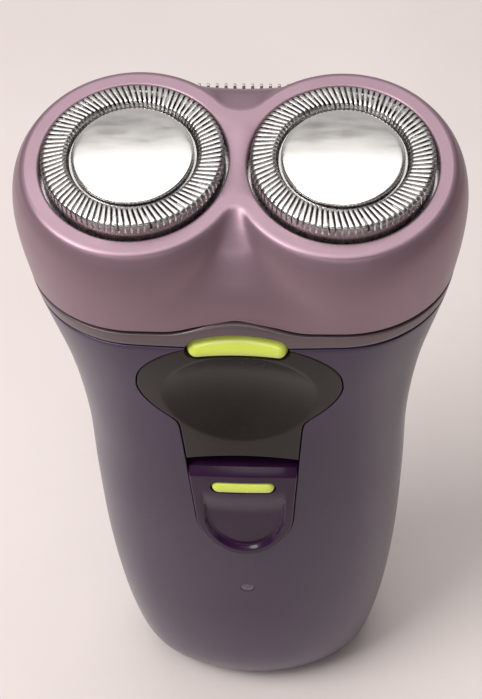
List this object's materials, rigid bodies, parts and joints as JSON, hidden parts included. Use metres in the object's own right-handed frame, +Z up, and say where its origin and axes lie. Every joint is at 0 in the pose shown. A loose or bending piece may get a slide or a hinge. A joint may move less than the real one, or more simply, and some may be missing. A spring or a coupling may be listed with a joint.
{
  "type": "rotary shaver",
  "caption": "Battery rotary shaver: waisted handle with thumb panel and slide switch, lift-off twin-lobe head with floating slotted round guards, flip-out trimmer at the rear.",
  "frame": {"origin": "under the middle of the base, where the shaver stands", "axes": "+Z up through the handle, -Y the front with switch and button, +X to the right as the front is seen"},
  "size_m": [0.0606, 0.0344, 0.1176],
  "materials": {
    "mauve_casing": "satin",
    "collar_grey": "satin",
    "violet_shell": "satin gloss",
    "panel_black": "satin",
    "purple_switch": "gloss",
    "lime": "gloss",
    "polished_steel": "polished",
    "steel": "brushed",
    "white_plastic": "matte",
    "black_plastic": "matte",
    "brass": "plain",
    "board_green": "matte",
    "cell_sleeve": "gloss",
    "light_pipe": "gloss"
  },
  "bodies": {
    "handle": {"front_shell": "violet_shell", "rear_shell": "violet_shell", "collar": "collar_grey", "thumb_panel": "panel_black", "pilot_light": "light_pipe", "inlet_socket": "black_plastic", "inlet_pin_left": "brass", "inlet_pin_right": "brass", "motor_can": "steel", "motor_cap": "black_plastic", "gear_plate": "steel", "gear_axle_left": "steel", "gear_axle_right": "steel", "battery_cell_left": "cell_sleeve", "battery_cell_right": "cell_sleeve", "circuit_board": "board_green", "switch_block": "black_plastic", "charge_lamp": "light_pipe", "housing_screw_1": "steel", "housing_screw_2": "steel", "housing_screw_3": "steel", "housing_screw_4": "steel", "motor_screw_front": "steel", "motor_screw_rear": "steel", "trimmer_pin": "steel", "release_spring": "steel"},
    "switch": {"switch_slider": "purple_switch", "switch_bar": "lime"},
    "button": {"release_button": "lime"},
    "shaving_unit": {"head_casing": "mauve_casing", "retaining_frame": "black_plastic"},
    "lock": {"lock_wheel": "black_plastic"},
    "head_left": {"guard_left": "polished_steel", "guard_cap_left": "polished_steel"},
    "head_right": {"guard_right": "polished_steel", "guard_cap_right": "polished_steel"},
    "cutter_left": {"cutter_left": "steel", "cutter_carrier_left": "black_plastic"},
    "cutter_right": {"cutter_right": "steel", "cutter_carrier_right": "black_plastic"},
    "gear_left": {"drive_gear_left": "white_plastic", "spindle_spring_left": "steel"},
    "gear_right": {"drive_gear_right": "white_plastic", "spindle_spring_right": "steel"},
    "pinion": {"pinion": "brass", "motor_shaft": "steel"},
    "spindle_left": {"spindle_left": "steel"},
    "spindle_right": {"spindle_right": "steel"},
    "trimmer": {"trimmer_arm": "violet_shell", "trimmer_comb": "polished_steel"},
    "trimmer_blade": {"trimmer_blade": "steel"}
  },
  "joints": [
    {"name": "switch_slide", "type": "slide", "parent": "handle", "child": "switch", "axis": [0, 0, 1], "range_m": [0, 0.0018]},
    {"name": "release_press", "type": "slide", "parent": "handle", "child": "button", "axis": [0, 1, 0], "range_m": [0, 0.0016], "stiffness_N_per_m": 600, "springref_m": -0.002, "deforming": ["release_spring"]},
    {"name": "unit_lift", "type": "slide", "parent": "handle", "child": "shaving_unit", "axis": [0, -0.1392, 0.9903], "range_m": [0, 0.03]},
    {"name": "lock_turn", "type": "hinge", "parent": "shaving_unit", "child": "lock", "pos_m": [0, -0.0015, 0.116], "axis": [0, -0.1392, 0.9903], "range_deg": [0, 90]},
    {"name": "head_left_float", "type": "slide", "parent": "shaving_unit", "child": "head_left", "axis": [0, 0.1392, -0.9903], "range_m": [0, 0.0015], "stiffness_N_per_m": 300, "springref_m": -0.001},
    {"name": "cutter_left_spin", "type": "hinge", "parent": "head_left", "child": "cutter_left", "pos_m": [-0.0136, -0.0015, 0.116], "axis": [0, -0.1392, 0.9903], "continuous": true},
    {"name": "gear_left_spin", "type": "hinge", "parent": "handle", "child": "gear_left", "pos_m": [-0.0136, -0.0015, 0.116], "axis": [0, -0.1392, 0.9903], "continuous": true},
    {"name": "spindle_left_slide", "type": "slide", "parent": "gear_left", "child": "spindle_left", "axis": [0, 0.1392, -0.9903], "range_m": [0, 0.0015], "deforming": ["spindle_spring_left"]},
    {"name": "head_right_float", "type": "slide", "parent": "shaving_unit", "child": "head_right", "axis": [0, 0.1392, -0.9903], "range_m": [0, 0.0015], "stiffness_N_per_m": 300, "springref_m": -0.001},
    {"name": "cutter_right_spin", "type": "hinge", "parent": "head_right", "child": "cutter_right", "pos_m": [0.0136, -0.0015, 0.116], "axis": [0, -0.1392, 0.9903], "continuous": true},
    {"name": "gear_right_spin", "type": "hinge", "parent": "handle", "child": "gear_right", "pos_m": [0.0136, -0.0015, 0.116], "axis": [0, -0.1392, 0.9903], "continuous": true},
    {"name": "spindle_right_slide", "type": "slide", "parent": "gear_right", "child": "spindle_right", "axis": [0, 0.1392, -0.9903], "range_m": [0, 0.0015], "deforming": ["spindle_spring_right"]},
    {"name": "pinion_spin", "type": "hinge", "parent": "handle", "child": "pinion", "pos_m": [0, -0.0015, 0.116], "axis": [0, -0.1392, 0.9903], "continuous": true},
    {"name": "trimmer_flip", "type": "hinge", "parent": "handle", "child": "trimmer", "pos_m": [0, 0.0157, 0.0898], "axis": [-1, 0, 0], "range_deg": [0, 80]},
    {"name": "trimmer_blade_run", "type": "slide", "parent": "trimmer", "child": "trimmer_blade", "axis": [1, 0, 0], "range_m": [-0.0006, 0.0006]}
  ],
  "couplings": [
    {"joint": "gear_right_spin", "follows": "gear_left_spin", "ratio": 1},
    {"joint": "pinion_spin", "follows": "gear_left_spin", "ratio": -2.4},
    {"joint": "cutter_left_spin", "follows": "gear_left_spin", "ratio": 1},
    {"joint": "cutter_right_spin", "follows": "gear_left_spin", "ratio": 1},
    {"joint": "spindle_left_slide", "follows": "head_left_float", "ratio": 1},
    {"joint": "spindle_right_slide", "follows": "head_right_float", "ratio": 1}
  ]
}
